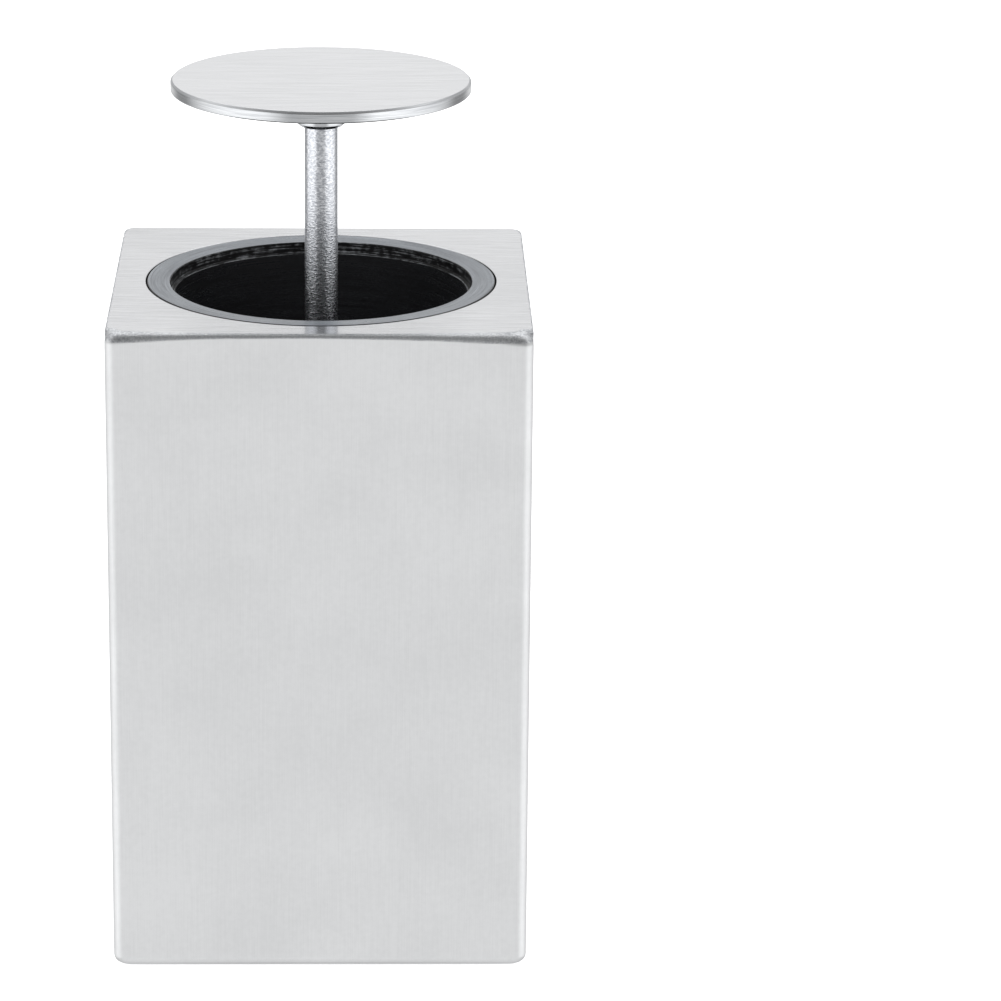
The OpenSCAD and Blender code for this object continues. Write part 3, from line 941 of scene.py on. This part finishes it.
# %% Pieces whose CAD shape is right already
KEPT = {"base_plate": wall_steel, "cup_floor": bore_plastic, "floor_screws": bright_steel,
        "foam_disc": foam, "friction_ring": ring_rubber, "lid_stud": bright_steel,
        "lifter_washer": bright_steel, "lifter_screw": bright_steel}
for node, material in KEPT.items():
    for material_slot in frame["nodes"][node].material_slots:
        material_slot.material = material
print(len(KEPT), "CAD nodes keep their shape")

# %% [markdown]
# ## Studio
# Polished and brushed metal shows the room, so the room is half of the finish. The product
# stood on white, with white panels at both sides and behind. Black flags beside the rear panel
# draw a thin dark line along every upright edge. In front the lit table is bright and the room
# above it, where the camera stands, is dark: the walls and the rod show the one or the other.
# The world shader holds that room, written by direction. Only reflections see it: the camera
# sees plain white, and matt surfaces are lit by an even level.

# %% The room, by direction
GLOSS_BY_AZIMUTH = [     # degrees from the camera's side, and how bright the room is there
    (0, 0.76), (25, 0.76), (42, 1.6), (76, 1.6), (100, 1.2), (114, 0.8), (124, 0.38), (140, 0.38),
    (154, 0.8), (180, 0.9)]
BRIGHTEST = max(level for _, level in GLOSS_BY_AZIMUTH)
# In what follows x, y and z are those of a direction of length 1, so z is the sine of its elevation.
FRONT_CEILING = 0.18         # the dark above the camera,
BACK_CEILING = 1.4           # and the light above the rear panel
CEILING_TURNS = (0.04, 0.24)     # y from which the one becomes the other
SIDE_PANEL_RISE = 0.8        # how much higher the side panels reach
SIDE_PANELS = (0.45, 0.75)       # distance aside over which they gain that height
REAR_PANEL_RISE = 0.6        # the same for the panel behind
REAR_PANEL = (0.1, 0.4)          # y over which it gains that height
PANEL_FADE = (-0.15, 0.1)        # soft upper edge of all the panels
PANEL_TOP_LEVEL = 1.0        # what the side panels fade to above the horizon, so nothing burns out
HORIZON = (-0.05, 0.08)          # z over which they fade
UNDER_FRONT = 0.95           # steeply down is the lit table in front,
UNDER_REAR = 0.7             # or the shade behind the housing
UNDER_TURNS = (-0.1, 0.3)        # y from which the one becomes the other
STEEP = (math.sin(math.radians(-50)), math.sin(math.radians(-38)))


def panel_level(tree, x, y):
    """Brightness of the panels that stand round the object, by azimuth."""
    ahead = add(tree, "ShaderNodeMath", operation="MULTIPLY", _0=y, _1=-1.0).outputs[0]
    azimuth = add(tree, "ShaderNodeMath", operation="ARCTAN2", _0=x, _1=ahead).outputs[0]
    turn = add(tree, "ShaderNodeMath", operation="ABSOLUTE", _0=azimuth).outputs[0]
    share = add(tree, "ShaderNodeMath", operation="DIVIDE", _0=turn, _1=math.pi).outputs[0]
    panels = add(tree, "ShaderNodeValToRGB", Fac=share)
    stops = panels.color_ramp.elements
    while len(stops) < len(GLOSS_BY_AZIMUTH):
        stops.new(0.5)
    for stop, (degrees, level) in zip(stops, GLOSS_BY_AZIMUTH):
        stop.position = degrees / 180
        stop.color = [level / BRIGHTEST] * 3 + [1]
    level = add(tree, "ShaderNodeMath", operation="MULTIPLY", _0=panels.outputs[0], _1=BRIGHTEST)
    return level.outputs[0]


def room_level(tree, x, y, z):
    """Brightness of the whole room: panels, ceiling above them, table below."""
    limit = spread(tree, z, *HORIZON, BRIGHTEST, PANEL_TOP_LEVEL)
    panels = add(tree, "ShaderNodeMath", operation="MINIMUM", _0=panel_level(tree, x, y), _1=limit)
    ceiling = spread(tree, y, *CEILING_TURNS, FRONT_CEILING, BACK_CEILING)
    sideways = add(tree, "ShaderNodeMath", operation="ABSOLUTE", _0=x).outputs[0]
    side_rise = spread(tree, sideways, *SIDE_PANELS, 0, SIDE_PANEL_RISE)
    rear_rise = spread(tree, y, *REAR_PANEL, 0, REAR_PANEL_RISE)
    rise = add(tree, "ShaderNodeMath", operation="MAXIMUM", _0=side_rise, _1=rear_rise).outputs[0]
    over = add(tree, "ShaderNodeMath", operation="SUBTRACT", _0=z, _1=rise).outputs[0]
    above = add(tree, "ShaderNodeMix", data_type="FLOAT", _0=spread(tree, over, *PANEL_FADE, 0, 1),
                _2=panels.outputs[0], _3=ceiling)
    under = spread(tree, y, *UNDER_TURNS, UNDER_FRONT, UNDER_REAR)
    room = add(tree, "ShaderNodeMix", data_type="FLOAT", _0=spread(tree, z, *STEEP, 1, 0),
               _2=above.outputs[0], _3=under)
    return room.outputs[0]


print("brightest panel", BRIGHTEST, "and above the horizon", PANEL_TOP_LEVEL)

# %% World
MATT_LEVEL = 0.8         # the even level that lights matt surfaces


def make_world():
    world = bpy.data.worlds.new("white_studio")
    world.use_nodes = True
    bpy.context.scene.world = world
    tree = world.node_tree
    way = add(tree, "ShaderNodeTexCoord").outputs["Generated"]
    x, y, z = add(tree, "ShaderNodeSeparateXYZ", Vector=way).outputs
    ray = add(tree, "ShaderNodeLightPath").outputs
    mirrored = add(tree, "ShaderNodeMath", operation="MAXIMUM", _0=ray["Is Glossy Ray"],
                   _1=ray["Is Transmission Ray"])
    lit = add(tree, "ShaderNodeMix", data_type="FLOAT", _0=mirrored.outputs[0], _2=MATT_LEVEL,
              _3=room_level(tree, x, y, z))
    seen = add(tree, "ShaderNodeMix", data_type="FLOAT", _0=ray["Is Camera Ray"], _2=lit.outputs[0], _3=1.0)
    feed(tree, tree.nodes["Background"], Strength=seen.outputs[0], Color=(1, 1, 1, 1))
    return world


print("world:", make_world().name)

# %% [markdown]
# ## Floor and lamps
# The floor is matt white paper. A little glow that only the camera sees lifts it to white, and
# the soft shadow under the object stays. Mirrored rays pass through it, so that metal shows the
# room's own table. Three large soft lamps light what is matt, and metal doesn't mirror them.

# %% Floor
FLOOR_HALF = 3.0
FLOOR_DROP = 0.05        # just clear of the studs under the pad, in mm
FLOOR_GLOW = 0.62


def make_floor():
    bm = bmesh.new()
    bmesh.ops.create_grid(bm, x_segments=8, y_segments=8, size=FLOOR_HALF)
    floor = add_object("white_floor", bm)
    floor.location.z = -FLOOR_DROP * MM
    material, tree, shader = new_finish("paper_white_matt")
    ray = add(tree, "ShaderNodeLightPath").outputs
    feed(tree, shader, Base_Color=linear("#f2f2f2"), Roughness=0.9, Specular_IOR_Level=0.0,
         Emission_Color=(1, 1, 1, 1),
         Emission_Strength=spread(tree, ray["Is Camera Ray"], 0, 1, 0, FLOOR_GLOW))
    clear = add(tree, "ShaderNodeBsdfTransparent")
    mixed = add(tree, "ShaderNodeMixShader", _0=ray["Is Glossy Ray"], _1=shader.outputs[0],
                _2=clear.outputs[0])
    feed(tree, tree.nodes["Material Output"], Surface=mixed.outputs[0])
    floor.data.materials.append(material)
    return floor


print("stage:", make_floor().name)

# %% Lamps
LAMP_SIZE = 0.7
AIM_AT = Vector((0, 0, 0.05))    # the middle of the dispenser
LAMPS = [("lamp_left", (-0.8, -0.5, 0.9), 4.0), ("lamp_right", (0.8, -0.4, 0.9), 3.0),
         ("lamp_rear", (0.0, 0.8, 0.9), 3.0)]


def soft_box(name, place, watts):
    """A square lamp that faces the dispenser."""
    data = bpy.data.lights.new(name, "AREA")
    data.size = LAMP_SIZE
    data.energy = watts
    lamp = bpy.data.objects.new(name, data)
    bpy.context.scene.collection.objects.link(lamp)
    lamp.location = place
    lamp.rotation_mode = "QUATERNION"
    lamp.rotation_quaternion = (AIM_AT - Vector(place)).to_track_quat("-Z", "Y")
    lamp.visible_glossy = False


for lamp in LAMPS:
    soft_box(*lamp)
print(len(LAMPS), "lamps,", sum(watts for _, _, watts in LAMPS), "W in all")

# %% [markdown]
# ## Finish
# The plain view transform shows each colour about as it was written.

# %% Colour management
bpy.context.scene.view_settings.view_transform = "Standard"
